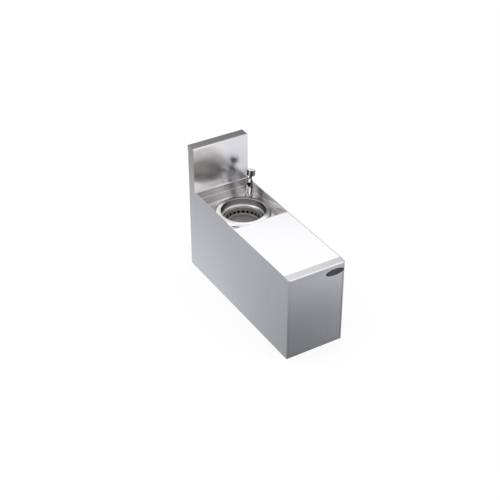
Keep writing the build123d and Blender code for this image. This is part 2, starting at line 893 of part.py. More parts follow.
# Every piece by its name
pieces = {
    "left_side_panel": mirror(side_panel(), about=Plane.YZ),
    "right_side_panel": side_panel(),
    "front_panel": front_panel(),
    "work_top": work_top(),
    "recess_pan": recess_pan(),
    "backsplash": backsplash(),
    "back_cover": back_cover(),
    "front_base_rail": base_rail(front_rail_y),
    "rear_base_rail": base_rail(rear_rail_y),
    "leg_weld_nuts": leg_weld_nuts(),
    "deck_stiffener": deck_stiffener(),
    "sound_pad": sound_pad(),
    "blank_plate": blank_plate(),
    "bowl": bowl(),
    "bowl_gasket": bowl_gasket(),
    "bowl_clamp_ring": bowl_clamp_ring(),
    "clamp_screws": clamp_screws(),
    "strainer_basket": strainer_basket(),
    "drain_body": drain_body(),
    "drain_gasket": drain_gasket(),
    "drain_washer": drain_washer(),
    "drain_locknut": drain_locknut(),
    "tailpiece": tailpiece(),
    "slip_washer": slip_washer(),
    "slip_nut": slip_nut(),
    "flange_gasket": flange_gasket(),
    "faucet_flange": faucet_flange(),
    "inlet_shank": inlet_shank(),
    "shank_washer": shank_washer(),
    "shank_locknut": shank_locknut(),
    "faucet_body": faucet_body(),
    "spout": spout(),
    "spout_seal": spout_seal(),
    "seat_seal": seat_seal(),
    "fixed_disc": fixed_disc(),
    "moving_disc": moving_disc(),
    "cartridge": cartridge(),
    "stem_seal": stem_seal(),
    "valve_stem": valve_stem(),
    "bonnet": bonnet(),
    "knob": knob(),
    "knob_screw": knob_screw(),
    "knob_cap": knob_cap(),
}

os.makedirs("parts", exist_ok=True)
for name, piece in pieces.items():
    export_step(piece, f"parts/{name}.step")
    print(name, round(piece.volume))
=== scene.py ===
import json
import math

import bpy
from mathutils import Matrix, Vector

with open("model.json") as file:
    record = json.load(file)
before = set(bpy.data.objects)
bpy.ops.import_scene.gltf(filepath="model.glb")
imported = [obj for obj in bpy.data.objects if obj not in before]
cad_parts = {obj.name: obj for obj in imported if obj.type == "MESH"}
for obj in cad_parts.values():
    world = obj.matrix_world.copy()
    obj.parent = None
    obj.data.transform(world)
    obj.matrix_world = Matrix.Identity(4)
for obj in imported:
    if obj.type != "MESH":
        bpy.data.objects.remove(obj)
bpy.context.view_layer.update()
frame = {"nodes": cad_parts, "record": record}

MM = 0.001


# Nodes
def link(tree, source, target):
    tree.links.new(source, target)


def add(tree, kind, **settings):
    """A node of a kind, with its properties set."""
    node = tree.nodes.new(kind)
    for name, value in settings.items():
        setattr(node, name, value)
    return node


def fill(tree, slot, value):
    """Give an input a socket's value, a number or a colour."""
    if isinstance(value, bpy.types.NodeSocket):
        link(tree, value, slot)
    elif isinstance(value, (int, float)):
        slot.default_value = value
    else:
        slot.default_value = (*value, 1.0)


def math_node(tree, operation, a, b=None):
    """A Math node whose inputs are numbers or sockets."""
    node = add(tree, "ShaderNodeMath", operation=operation)
    for slot, value in zip(node.inputs, (a, b)):
        if value is not None:
            fill(tree, slot, value)
    return node.outputs[0]


def plus(tree, a, b):
    return math_node(tree, "ADD", a, b)


def minus(tree, a, b):
    return math_node(tree, "SUBTRACT", a, b)


def times(tree, a, b):
    return math_node(tree, "MULTIPLY", a, b)


def over(tree, a, b):
    return math_node(tree, "DIVIDE", a, b)


def distance(tree, a, b):
    """Length of the line that goes a one way and b across it."""
    return math_node(tree, "SQRT", plus(tree, times(tree, a, a), times(tree, b, b)))


def map_range(tree, value, low, high, to_low, to_high):
    node = add(tree, "ShaderNodeMapRange")
    link(tree, value, node.inputs["Value"])
    for name, number in zip(("From Min", "From Max", "To Min", "To Max"), (low, high, to_low, to_high)):
        node.inputs[name].default_value = number
    return node.outputs["Result"]


def share(tree, value, start, full):
    """0 at start, 1 at full, and evenly between them."""
    return map_range(tree, value, start, full, 0.0, 1.0)


def mix_colour(tree, factor, a, b, blend="MIX"):
    """A colour Mix node whose inputs are numbers, colours or sockets."""
    node = add(tree, "ShaderNodeMix", data_type="RGBA", blend_type=blend)
    for slot, value in zip((node.inputs[0], node.inputs[6], node.inputs[7]), (factor, a, b)):
        fill(tree, slot, value)
    return node.outputs[2]


def blended(tree, factor, a, b):
    """A number between two numbers or sockets."""
    node = add(tree, "ShaderNodeMix", data_type="FLOAT")
    for slot, value in zip((node.inputs[0], node.inputs[2], node.inputs[3]), (factor, a, b)):
        fill(tree, slot, value)
    return node.outputs[0]


def toned(tree, colour, tone):
    return mix_colour(tree, 1.0, colour, tone, "MULTIPLY")


def object_point(tree, scale=(1, 1, 1)):
    """Object coordinates, scaled."""
    coords = add(tree, "ShaderNodeTexCoord")
    mapping = add(tree, "ShaderNodeMapping")
    link(tree, coords.outputs["Object"], mapping.inputs["Vector"])
    mapping.inputs["Scale"].default_value = scale
    return mapping.outputs["Vector"]


def noise(tree, vector, scale, detail=3.0, rough=0.55):
    node = add(tree, "ShaderNodeTexNoise")
    link(tree, vector, node.inputs["Vector"])
    node.inputs["Scale"].default_value = scale
    node.inputs["Detail"].default_value = detail
    node.inputs["Roughness"].default_value = rough
    return node.outputs["Fac"]


def bump(tree, shader, height, depth, strength):
    node = add(tree, "ShaderNodeBump")
    node.inputs["Strength"].default_value = strength
    node.inputs["Distance"].default_value = depth
    link(tree, height, node.inputs["Height"])
    link(tree, node.outputs["Normal"], shader.inputs["Normal"])


def part_of(tree, vector, axis):
    split = add(tree, "ShaderNodeSeparateXYZ")
    link(tree, vector, split.inputs[0])
    return split.outputs[axis]


def place_of(tree, axis):
    """The object coordinate along an axis, in millimetres."""
    coords = add(tree, "ShaderNodeTexCoord")
    return over(tree, part_of(tree, coords.outputs["Object"], axis), MM)


def facing(tree, axis, sign, start=0.55, full=0.85):
    """1 where the surface faces along an axis, 0 where it faces elsewhere."""
    geometry = add(tree, "ShaderNodeNewGeometry")
    along = times(tree, part_of(tree, geometry.outputs["Normal"], axis), sign)
    return share(tree, along, start, full)


def along_direction(tree, vector, direction):
    """Dot product of a vector with a fixed direction."""
    dot = add(tree, "ShaderNodeVectorMath", operation="DOT_PRODUCT")
    link(tree, vector, dot.inputs[0])
    dot.inputs[1].default_value = direction
    return dot.outputs["Value"]


def turned_to(tree, direction):
    """How far the surface turns towards a fixed direction: -1 away, 1 straight at it."""
    geometry = add(tree, "ShaderNodeNewGeometry")
    return along_direction(tree, geometry.outputs["Normal"], direction)


def levels(tree, value, stops):
    """A number that goes evenly from each (place, level) stop to the next."""
    low, high = stops[0][0], stops[-1][0]
    ramp = add(tree, "ShaderNodeValToRGB")
    link(tree, share(tree, value, low, high), ramp.inputs["Fac"])
    elements = ramp.color_ramp.elements
    while len(elements) < len(stops):
        elements.new(0.5)
    for element, (place, level) in zip(elements, stops):
        element.position = (place - low) / (high - low)
        element.color = (level, level, level, 1.0)
    return ramp.outputs["Color"]


def new_material(name, metallic=None):
    material = bpy.data.materials.new(name)
    material.use_nodes = True
    tree = material.node_tree
    shader = tree.nodes["Principled BSDF"]
    if metallic is not None:
        shader.inputs["Metallic"].default_value = metallic
    return material, tree, shader


def scaled(colour, factor, lift=0.0):
    """A colour times a factor, no brighter than white."""
    return tuple(min(1.0, v * factor + lift) for v in colour)


# Brush marks: few along the axis that they run along, many across it
BRUSH = {"X": (4, 420, 420), "Y": (420, 4, 420), "Z": (420, 420, 4)}
COARSER = 7
FINE_SHARE = 0.7
COARSE_SHARE = 0.3
MARKS_LOW = 0.3
MARKS_HIGH = 0.7
STREAK = 0.03
WANDER = 0.1
MARKS_DEPTH = 0.00001


def brush_marks(tree, along):
    """Fine and coarse marks along one axis, about 0.5 in the middle."""
    fine = noise(tree, object_point(tree, BRUSH[along]), 1.0, 4.0, 0.7)
    coarse = noise(tree, object_point(tree, tuple(v / COARSER for v in BRUSH[along])), 1.0, 2.0)
    return plus(tree, times(tree, fine, FINE_SHARE), times(tree, coarse, COARSE_SHARE))


# Painted shade over the cabinet, standing in for reflected light and shadow: sides and front lighter or
# darker by place, as (millimetres, share of the colour) stops
SIDE_SHADE_LOW = [(-300, 0.58), (-200, 0.68), (-100, 0.78), (0, 0.90), (100, 1.0), (200, 1.04), (305, 1.06)]
SIDE_SHADE_HIGH = [(-300, 0.70), (-200, 0.74), (-100, 0.775), (0, 0.77), (100, 0.76), (200, 0.76), (305, 0.73)]
SIDE_SHADE_TOP = [(290, 1.0), (340, 0.88), (400, 0.71), (460, 0.67)]
FRONT_SHADE_HEIGHT = [
    (0, 0.39), (20, 0.435), (50, 0.46), (100, 0.49), (150, 0.56), (200, 0.66), (250, 0.79), (292, 0.86),
]
FRONT_SHADE_ACROSS = [(-100, 0.87), (0, 1.0), (100, 1.15)]
SIDE_COLOUR = (0.480, 0.486, 0.520)
FRONT_COLOUR = (0.460, 0.466, 0.498)


def cabinet_painted_shade_colour(tree):
    """Colour of the cabinet's upright faces, side faces and the front, each with its own colour and painted
    shade by place: the front darker towards the bottom.
    """
    up = place_of(tree, "Z")
    rear = place_of(tree, "Y")
    low, high = (levels(tree, rear, stops) for stops in (SIDE_SHADE_LOW, SIDE_SHADE_HIGH))
    side = blended(tree, share(tree, up, 20, 290), low, high)
    side = times(tree, side, levels(tree, up, SIDE_SHADE_TOP))
    front = times(tree, levels(tree, up, FRONT_SHADE_HEIGHT), levels(tree, place_of(tree, "X"), FRONT_SHADE_ACROSS))
    return mix_colour(
        tree, facing(tree, "Y", -1, 0.35, 0.65),
        toned(tree, SIDE_COLOUR, side), toned(tree, FRONT_COLOUR, front),
    )


# Painted reflection on the backsplash's face: lighter or darker across the cabinet, low down, in the middle
# and high up
SPLASH_REFLECTION_LOW = [(-100, 1.38), (-20, 1.38), (20, 1.3), (50, 0.90), (75, 0.62), (100, 0.62)]
SPLASH_REFLECTION_MIDDLE = [(-100, 1.38), (-60, 1.36), (-10, 1.0), (30, 0.90), (100, 0.90)]
SPLASH_REFLECTION_HIGH = [(-100, 1.38), (-60, 1.36), (0, 1.08), (40, 1.0), (100, 0.99)]
# Warm and cool tints of that painted reflection
WARM_REFLECTION = (1.0, 0.975, 0.955)
COOL_REFLECTION = (0.975, 0.985, 1.03)

# The soft band of light low on the backsplash: by height, and across the cabinet
SPLASH_LIGHT_HEIGHT = [(298, 0.35), (306, 0.8), (312, 1.0), (318, 0.9), (330, 0.25), (342, 0.0)]
SPLASH_LIGHT_ACROSS = [(-100, 0.85), (-60, 0.80), (-25, 0.52), (0, 0.36), (30, 0.0)]


def splash_reflection_colour(tree, colour):
    """Colour of the backsplash's face with painted reflection: lighter and warm on the left, darker and cool
    on the right.
    """
    up = place_of(tree, "Z")
    across = place_of(tree, "X")
    low, middle, high = (levels(tree, across, stops) for stops in (SPLASH_REFLECTION_LOW, SPLASH_REFLECTION_MIDDLE, SPLASH_REFLECTION_HIGH))
    tone = blended(tree, share(tree, up, 322, 346), low, middle)
    tone = blended(tree, share(tree, up, 380, 430), tone, high)
    painted_light_tint = mix_colour(tree, share(tree, across, -60, 60), WARM_REFLECTION, COOL_REFLECTION)
    return toned(tree, toned(tree, painted_light_tint, tone), colour)


def splash_glint(tree):
    """Soft band of light low on the backsplash's left, from 0 to 1."""
    height = levels(tree, place_of(tree, "Z"), SPLASH_LIGHT_HEIGHT)
    across = levels(tree, place_of(tree, "X"), SPLASH_LIGHT_ACROSS)
    return times(tree, times(tree, height, across), facing(tree, "Y", -1))


# Painted light and shade on the recess's floor, standing in for reflections, from its front to its back, on
# the left and on the right
FLOOR_SHADE_LEFT = [
    (18, 1.5), (40, 1.5), (75, 0.85), (130, 0.55), (200, 0.56), (218, 0.85), (235, 0.95), (267, 0.95),
]
FLOOR_SHADE_RIGHT = [
    (18, 1.5), (40, 1.4), (58, 0.85), (75, 0.7), (95, 0.8),
    (120, 1.1), (165, 1.2), (185, 1.55), (200, 1.6), (267, 1.3),
]

# Painted light and shade on the recess's right wall from its front to its back, and how dull it is
WALL_RIGHT_SHADE = [
    (18, 0.92), (60, 0.95), (95, 1.05), (150, 1.05), (162, 0.9), (170, 0.5),
    (186, 0.5), (198, 0.85), (210, 1.05), (235, 1.05), (267, 0.7),
]
WALL_ROUGHNESS = 0.45

# The slanting patch of light on that wall: across the slant, and by height
PATCH_SLANT = 2.3
PATCH_HEIGHT = 285.0
PATCH_ACROSS = [(58, 0.0), (70, 1.0), (102, 1.0), (122, 0.0)]
PATCH_FOOT = [(272, 0.0), (282, 1.0)]


def wall_glint(tree):
    """Slanting patch of light on the recess's right wall, from 0 to 1."""
    up = place_of(tree, "Z")
    lean = times(tree, minus(tree, up, PATCH_HEIGHT), PATCH_SLANT)
    slant = plus(tree, place_of(tree, "Y"), lean)
    patch = times(tree, levels(tree, slant, PATCH_ACROSS), levels(tree, up, PATCH_FOOT))
    return times(tree, patch, facing(tree, "X", -1))


# Painted shade on the side panels' top edge: darker beside the recess than beside the work top
HEM_TOP_SHADE = [(-305, 1.0), (20, 1.0), (60, 0.72), (260, 0.64), (305, 0.64)]

# The sloped nosing at the front of the work top: where it ends, and its painted shade across, darker towards
# the right
NOSING_END = -280.0
NOSING_SHADE_ACROSS = [(-100, 1.02), (0, 0.955), (100, 0.83)]

# Where the light catches the fold below the nosing: how far forward, and by height
FOLD_START = -300.0
FOLD_LINE = [(291.5, 0.0), (293.0, 1.0), (295.45, 1.0), (295.8, 0.0)]

# Painted shade on the backsplash's cap: darker towards the right
CAP_SHADE_ACROSS = [(-100, 1.03), (100, 0.92)]


def steel(
    name, along, colour=None, gloss=0.26,
    top=None, top_gloss=0.12, top_along=None, top_across=None, front_across=None, fold=None,
    face=None, face_gloss=None, splash=False, sideways=None, floor_shade=None, glint=None,
):
    """Brushed stainless steel: fine marks along one axis in colour, gloss and height, with painted light and
    shade in the colours given for faces turned up, to the front or aside.
    """
    material, tree, shader = new_material(name, 1.0)
    marks = brush_marks(tree, along)
    base = colour if colour else cabinet_painted_shade_colour(tree)
    rough = gloss
    # Painted light and shade on the recess's floor, from its front to its back
    if floor_shade:
        left, right = (levels(tree, place_of(tree, "Y"), stops) for stops in floor_shade)
        base = toned(tree, base, blended(tree, share(tree, place_of(tree, "X"), -60, 0), left, right))
    # Faces turned aside get a lighter colour of their own with painted shade along them: a painted lit copy
    # of the steel
    if sideways:
        wall = toned(tree, sideways, levels(tree, place_of(tree, "Y"), WALL_RIGHT_SHADE))
        base = mix_colour(tree, facing(tree, "X", -1), base, wall)
        rough = blended(tree, facing(tree, "X", -1), rough, WALL_ROUGHNESS)
    # Faces turned to the front get a colour of their own: a painted lit or shaded copy of the steel
    if face:
        base = mix_colour(tree, facing(tree, "Y", -1), base, splash_reflection_colour(tree, face) if splash else face)
        rough = blended(tree, facing(tree, "Y", -1), rough, face_gloss or gloss)
    # Faces turned up get a lighter colour of their own, with painted shade by place: a painted lit copy of
    # the steel
    if top:
        if top_along:
            top = toned(tree, top, levels(tree, place_of(tree, "Y"), top_along))
        if top_across:
            top = toned(tree, top, levels(tree, place_of(tree, "X"), top_across))
        if front_across:
            nosing = map_range(tree, place_of(tree, "Y"), NOSING_END, NOSING_END + 1.0, 1.0, 0.0)
            across = levels(tree, place_of(tree, "X"), front_across)
            top = toned(tree, top, blended(tree, nosing, 1.0, across))
        base = mix_colour(tree, facing(tree, "Z", 1), base, top)
        rough = blended(tree, facing(tree, "Z", 1), rough, top_gloss)
    # Painted highlight along the fold below the nosing
    if fold:
        line = levels(tree, place_of(tree, "Z"), FOLD_LINE)
        front = share(tree, place_of(tree, "Y"), FOLD_START, FOLD_START - 1.0)
        base = mix_colour(tree, times(tree, line, front), base, fold)
    spread = map_range(tree, marks, MARKS_LOW, MARKS_HIGH, 1.0 - STREAK, 1.0 + STREAK)
    link(tree, toned(tree, base, spread), shader.inputs["Base Color"])
    # A painted highlight: where the glint is, the metal gives way to its plain colour
    if glint:
        link(tree, minus(tree, 1.0, glint(tree)), shader.inputs["Metallic"])
    wander = map_range(tree, marks, MARKS_LOW, MARKS_HIGH, 1.0 - WANDER, 1.0 + WANDER)
    link(tree, times(tree, wander, rough), shader.inputs["Roughness"])
    bump(tree, shader, marks, MARKS_DEPTH, 0.3)
    return material


# The lathe's rings: how fine and how deep; and the faint clouds over them
RINGS = 900.0
RINGS_DEPTH = 0.00003
CLOUD_SCALE = 18.0
BOWL_MIDDLE = 125.5


def bowl_radius(tree):
    """Distance from the bowl's axis, in metres."""
    point = add(tree, "ShaderNodeTexCoord").outputs["Object"]
    back = minus(tree, part_of(tree, point, "Y"), BOWL_MIDDLE * MM)
    return distance(tree, part_of(tree, point, "X"), back)


def spun_steel(name, colour, roughness, painted_light_tint=None, lip=None):
    """Steel turned on a lathe: fine rings round the bowl's axis."""
    material, tree, shader = new_material(name, 1.0)
    point = add(tree, "ShaderNodeTexCoord").outputs["Object"]
    radius = bowl_radius(tree)
    joined = add(tree, "ShaderNodeCombineXYZ")
    link(tree, radius, joined.inputs["X"])
    link(tree, part_of(tree, point, "Z"), joined.inputs["Y"])
    fine = noise(tree, joined.outputs[0], RINGS, 3.0, 0.7)
    cloud = noise(tree, object_point(tree), CLOUD_SCALE, 2.0)
    base = mix_colour(tree, share(tree, fine, 0.35, 0.65), scaled(colour, 0.88), scaled(colour, 1.08))
    base = mix_colour(tree, map_range(tree, cloud, 0.35, 0.7, 0.0, 0.2), base, scaled(colour, 0.8))
    # Painted light and shade from the given tone
    if painted_light_tint:
        base = toned(tree, base, painted_light_tint(tree))
        shader.inputs["Specular Tint"].default_value = (0.5, 0.5, 0.5, 1.0)
    link(tree, base, shader.inputs["Base Color"])
    rough = map_range(tree, fine, 0.3, 0.7, *roughness)
    if lip:
        parts = add(tree, "ShaderNodeSeparateColor")
        link(tree, base, parts.inputs[0])
        rough = times(tree, rough, map_range(tree, parts.outputs["Green"], 0.86, 0.96, 1.0, 0.4))
        rough = plus(tree, rough, levels(tree, over(tree, radius, MM), lip))
    link(tree, rough, shader.inputs["Roughness"])
    bump(tree, shader, fine, RINGS_DEPTH, 0.5)
    return material


# Painted reflection on the chrome: how dark and light bands lie across it, from its left to its right
RIGHTWARDS = (0.858, -0.514, 0.0)
FOOT_BANDS = [(-1.0, 0.06), (-0.72, 0.08), (-0.5, 0.62), (0.30, 0.58), (0.55, 0.08), (1.0, 0.10)]
LOW_BANDS = [(-1.0, 0.10), (-0.9, 0.5), (-0.7, 0.97), (0.45, 0.97), (0.62, 0.3), (0.78, 0.06), (1.0, 0.12)]
BODY_BANDS = [
    (-1.0, 0.16), (-0.96, 0.40), (-0.90, 0.97), (-0.50, 0.97), (-0.38, 0.04),
    (0.12, 0.04), (0.30, 0.16), (0.55, 0.06), (0.78, 0.16), (1.0, 0.12),
]
SKIRT_BANDS = [(-1.0, 0.05), (0.05, 0.04), (0.25, 0.45), (0.5, 0.45), (0.7, 0.06), (1.0, 0.08)]
BALL_BANDS = [
    (-1.0, 0.03), (-0.82, 0.05), (-0.66, 0.95), (-0.02, 0.97), (0.16, 0.20),
    (0.28, 0.02), (0.66, 0.02), (0.85, 0.2), (1.0, 0.10),
]
STEM_BANDS = [(-1.0, 0.2), (-0.8, 0.95), (-0.2, 0.95), (0.0, 0.2), (0.4, 0.2), (0.6, 0.9), (1.0, 0.6)]
SPOUT_BANDS = [(-1.0, 0.04), (-0.48, 0.05), (-0.32, 0.92), (0.38, 0.97), (0.52, 0.06), (1.0, 0.08)]
KNOB_BANDS = [
    (-1.0, 0.03), (-0.60, 0.035), (-0.52, 0.60), (-0.30, 0.62), (-0.18, 0.02),
    (0.18, 0.02), (0.28, 0.13), (0.60, 0.20), (0.90, 0.18), (1.0, 0.4),
]

# The faucet's bands by height, in millimetres: where each starts, and how soft the change is
NUT_LOW = 308.0
NUT_HIGH = 318.5
FAUCET_ZONES = [
    (276.4, LOW_BANDS), (284.5, BODY_BANDS), (NUT_LOW, SKIRT_BANDS),
    (NUT_HIGH, BALL_BANDS), (337.0, STEM_BANDS),
]
ZONE_EDGE = 0.4

# The painted highlight on upward faces is dimmed between the nut's ends
NUT_CLEAR = [(NUT_LOW - 1, 1.0), (NUT_LOW, 0.15), (NUT_HIGH, 0.15), (NUT_HIGH + 1, 1.0)]
UPWARD_HIGHLIGHT = 0.95
CHROME_TINT = (1.0, 0.995, 0.99)

# The knob's axis: a point on it in millimetres, and two directions across it
KNOB_PIVOT = (69.083, 204.971, 282.0)
KNOB_SIDE = (0.978, 0.0, -0.2087)
KNOB_BACK = (-0.0235, 0.9936, -0.110)
KNOB_RIBS = 52
RIBS_DEPTH = 0.0002


def knob_ribs(tree):
    """Fine ribs round the knob, from 0 in the grooves to 1."""
    coords = add(tree, "ShaderNodeTexCoord")
    move = add(tree, "ShaderNodeVectorMath", operation="SUBTRACT")
    link(tree, coords.outputs["Object"], move.inputs[0])
    move.inputs[1].default_value = tuple(v * MM for v in KNOB_PIVOT)
    parts = [along_direction(tree, move.outputs["Vector"], way) for way in (KNOB_BACK, KNOB_SIDE)]
    angle = math_node(tree, "ARCTAN2", *parts)
    wave = math_node(tree, "SINE", times(tree, angle, KNOB_RIBS))
    return share(tree, wave, -0.7, 0.7)


def chrome_painted_reflection(name, bands, zones=(), roughness=(0.04, 0.12), ribbed=False):
    """Chrome with painted reflection: dark and light bands by the way the surface turns, a painted highlight
    on faces turned up, and faint smears.
    """
    material, tree, shader = new_material(name)
    smear = noise(tree, object_point(tree), 90.0)
    turn = turned_to(tree, RIGHTWARDS)
    up = place_of(tree, "Z")
    band = levels(tree, turn, bands)
    for start, higher in zones:
        above = share(tree, up, start - ZONE_EDGE, start + ZONE_EDGE)
        band = blended(tree, above, band, levels(tree, turn, higher))
    if ribbed:
        ribs = knob_ribs(tree)
        # Painted light and shade on the ribs: darker grooves and lighter ridges
        band = times(tree, band, map_range(tree, ribs, 0.0, 1.0, 0.55, 1.15))
        bump(tree, shader, ribs, RIBS_DEPTH, 0.6)
    upward = facing(tree, "Z", 1, 0.66, 0.86)
    if zones:
        upward = times(tree, upward, levels(tree, up, NUT_CLEAR))
    band = blended(tree, upward, band, UPWARD_HIGHLIGHT)
    band = times(tree, band, map_range(tree, smear, 0.3, 0.7, 0.93, 1.03))
    link(tree, toned(tree, CHROME_TINT, band), shader.inputs["Base Color"])
    # Painted highlight: the bright bands give way from metal to plain colour
    link(tree, map_range(tree, band, 0.5, 0.9, 1.0, 0.15), shader.inputs["Metallic"])
    shader.inputs["Specular Tint"].default_value = (0.4, 0.4, 0.4, 1.0)
    link(tree, map_range(tree, smear, 0.35, 0.7, *roughness), shader.inputs["Roughness"])
    return material


def matte(name, colour, roughness=0.6, grain=700.0, depth=0.00003, metallic=0.0):
    """Rubber, plastic, plain metal or paint with a fine grain."""
    material, tree, shader = new_material(name, metallic)
    grains = noise(tree, object_point(tree), grain)
    base = mix_colour(tree, share(tree, grains, 0.35, 0.65), scaled(colour, 0.9), scaled(colour, 1.12, 0.004))
    link(tree, base, shader.inputs["Base Color"])
    rough = map_range(tree, grains, 0.3, 0.7, roughness - 0.08, roughness + 0.08)
    link(tree, rough, shader.inputs["Roughness"])
    bump(tree, shader, grains, depth, 0.5)
    return material


# The oval plate, in millimetres, and the share of its half sizes where the rim starts
PLATE_X = 65.6
PLATE_Z = 268.6
PLATE_HALF_WIDTH = 33.0
PLATE_HALF_HEIGHT = 11.0
RIM_START = 0.78
RIM_EDGE = 0.06
PLATE_FIELD = (0.042, 0.042, 0.044)
PLATE_RIM = (0.008, 0.008, 0.009)


def oval_plate(name):
    """Dark oval plate whose rim is darker than its satin field."""
    material = matte(name, PLATE_FIELD, 0.34, 900.0, 0.00002)
    tree = material.node_tree
    shader = tree.nodes["Principled BSDF"]
    shader.inputs["Specular IOR Level"].default_value = 0.25
    across = over(tree, minus(tree, place_of(tree, "X"), PLATE_X), PLATE_HALF_WIDTH)
    height = over(tree, minus(tree, place_of(tree, "Z"), PLATE_Z), PLATE_HALF_HEIGHT)
    edge = share(tree, distance(tree, across, height), RIM_START, RIM_START + RIM_EDGE)
    inner = shader.inputs["Base Color"].links[0].from_socket
    link(tree, mix_colour(tree, edge, inner, PLATE_RIM), shader.inputs["Base Color"])
    return material


# Painted light and shade on the bowl's inside by height: dark well under the basket, light cove and wall;
# darker by how far it turns aside, with a painted dark line at the rim
BOWL_DEPTH_SHADE = [
    (214, 0.10), (246, 0.10), (248.5, 0.7), (250.5, 1.05),
    (255.5, 1.08), (259, 0.86), (264, 0.80), (277, 0.80),
]
BOWL_ASIDE_SHADE = [
    (-1, 0.25), (-0.93, 0.42), (-0.8, 0.7), (-0.5, 1.0), (0.5, 1.0), (0.8, 0.7), (0.93, 0.42), (1, 0.25),
]
BOWL_RIM_SHADE = [(267, 0.0), (271, 0.95), (277, 0.95)]

# Painted light and shade on the flange by bearing, from its front left to its back right, and its roughness
# by radius
FLANGE_LIGHT_SHADE = [(-1, 1.3), (-0.12, 1.3), (0.08, 0.7), (0.25, 0.38), (0.55, 0.38), (0.8, 0.85), (1, 0.85)]
BEARING_ACROSS = 0.85
BEARING_BACK = 0.5
BOWL_LIP = [(71.5, 0.0), (72.5, 0.16), (75.0, 0.16), (78.0, 0.0)]


def bowl_painted_shade(tree):
    """Bowl's painted light and shade: dark well, light cove, duller wall, and a flange that is palest at its
    front left.
    """
    up = place_of(tree, "Z")
    radius = over(tree, bowl_radius(tree), MM)
    well = map_range(tree, radius, 65.4, 66.6, 0.08, 1.0)
    deep = times(tree, levels(tree, up, BOWL_DEPTH_SHADE), well)
    aside = levels(tree, turned_to(tree, RIGHTWARDS), BOWL_ASIDE_SHADE)
    rim = times(tree, levels(tree, up, BOWL_RIM_SHADE), map_range(tree, aside, 0.65, 0.95, 1.0, 0.0))
    inside = times(tree, deep, times(tree, aside, minus(tree, 1.0, rim)))
    across = times(tree, place_of(tree, "X"), BEARING_ACROSS)
    back = times(tree, minus(tree, place_of(tree, "Y"), BOWL_MIDDLE), BEARING_BACK)
    bearing = over(tree, plus(tree, across, back), radius)
    rear_lip_shade = times(
        tree, share(tree, bearing, 0.05, 0.25), map_range(tree, radius, 75.0, 82.0, 0.42, 0.0),
    )
    flange = times(tree, levels(tree, bearing, FLANGE_LIGHT_SHADE), minus(tree, 1.0, rear_lip_shade))
    return blended(tree, share(tree, radius, 72.9, 74.2), inside, flange)


# Painted light and shade on the basket by height, and painted shade round its row of holes, in millimetres
BASKET_SHADE_HEIGHT = [
    (220, 1.0), (224.9, 1.0), (225.5, 0.72), (227.6, 0.74),
    (231, 1.2), (246.6, 1.3), (247.6, 1.5), (251, 1.5),
]
HOLE_COUNT = 24
HOLE_HEIGHT = 233.6
HOLE_RING = 60.7
HOLE_SHADE_IN = 4.2
HOLE_SHADE_OUT = 4.95


def basket_painted_shade(tree):
    """Basket's painted light and shade: lighter rolled rim over a dull wall and floor, and painted shade
    round the edge of each hole.
    """
    up = place_of(tree, "Z")
    back = minus(tree, place_of(tree, "Y"), BOWL_MIDDLE)
    angle = math_node(tree, "ARCTAN2", back, place_of(tree, "X"))
    wave = math_node(tree, "SINE", times(tree, angle, HOLE_COUNT / 2))
    aside = times(tree, wave, 2 * HOLE_RING / HOLE_COUNT)
    away = distance(tree, aside, minus(tree, up, HOLE_HEIGHT))
    edge = map_range(tree, away, HOLE_SHADE_IN, HOLE_SHADE_OUT, 0.05, 1.0)
    return times(tree, levels(tree, up, BASKET_SHADE_HEIGHT), edge)


# The top, face and sideways colours are painted light and shade: lighter or darker copies of each steel by
# the way its faces turn
materials = {
    "side_steel": steel("side_steel_look", "Z", top=(0.80, 0.80, 0.805), top_along=HEM_TOP_SHADE),
    "front_steel": steel("front_steel_look", "Z"),
    "top_steel": steel(
        "top_steel_look", "X", top=(0.76, 0.76, 0.765), top_gloss=0.11,
        front_across=NOSING_SHADE_ACROSS, fold=(0.88, 0.88, 0.895),
    ),
    "pan_steel": steel(
        "pan_steel_look", "X", (0.62, 0.605, 0.60), face=(0.43, 0.415, 0.41), sideways=(0.97, 0.93, 0.91),
        gloss=0.17, face_gloss=0.26, floor_shade=(FLOOR_SHADE_LEFT, FLOOR_SHADE_RIGHT), glint=wall_glint,
    ),
    "splash_steel": steel(
        "splash_steel_look", "X", top=(0.65, 0.65, 0.652), top_gloss=0.10, top_across=CAP_SHADE_ACROSS,
        face=(0.72, 0.715, 0.72), face_gloss=0.21, splash=True, glint=splash_glint,
    ),
    "inner_steel": steel("inner_steel_look", "Y", (0.45, 0.45, 0.46), gloss=0.38),
    "bowl_steel": spun_steel("bowl_steel_look", (0.76, 0.75, 0.74), (0.17, 0.25), bowl_painted_shade, BOWL_LIP),
    "basket_steel": spun_steel("basket_steel_look", (0.42, 0.397, 0.386), (0.42, 0.55), basket_painted_shade),
    "drain_steel": spun_steel("drain_steel_look", (0.62, 0.62, 0.62), (0.12, 0.2)),
    "zinc_steel": matte("zinc_steel_look", (0.55, 0.56, 0.57), 0.38, 400.0, 0.00002, 1.0),
    "faucet_chrome": chrome_painted_reflection("faucet_chrome_look", FOOT_BANDS, FAUCET_ZONES),
    "knob_chrome": chrome_painted_reflection("knob_chrome_look", KNOB_BANDS, roughness=(0.06, 0.16), ribbed=True),
    "bare_brass": matte("bare_brass_look", (0.66, 0.53, 0.33), 0.28, 500.0, 0.00002, 1.0),
    "black_rubber": matte("black_rubber_look", (0.03, 0.03, 0.031), 0.7),
    "damping_rubber": matte("damping_rubber_look", (0.045, 0.045, 0.048), 0.8, 500.0, 0.0001),
    "white_plastic": matte("white_plastic_look", (0.82, 0.82, 0.79), 0.45),
    "white_ceramic": matte("white_ceramic_look", (0.88, 0.87, 0.84), 0.15),
    "dark_plate": oval_plate("dark_plate_look"),
}

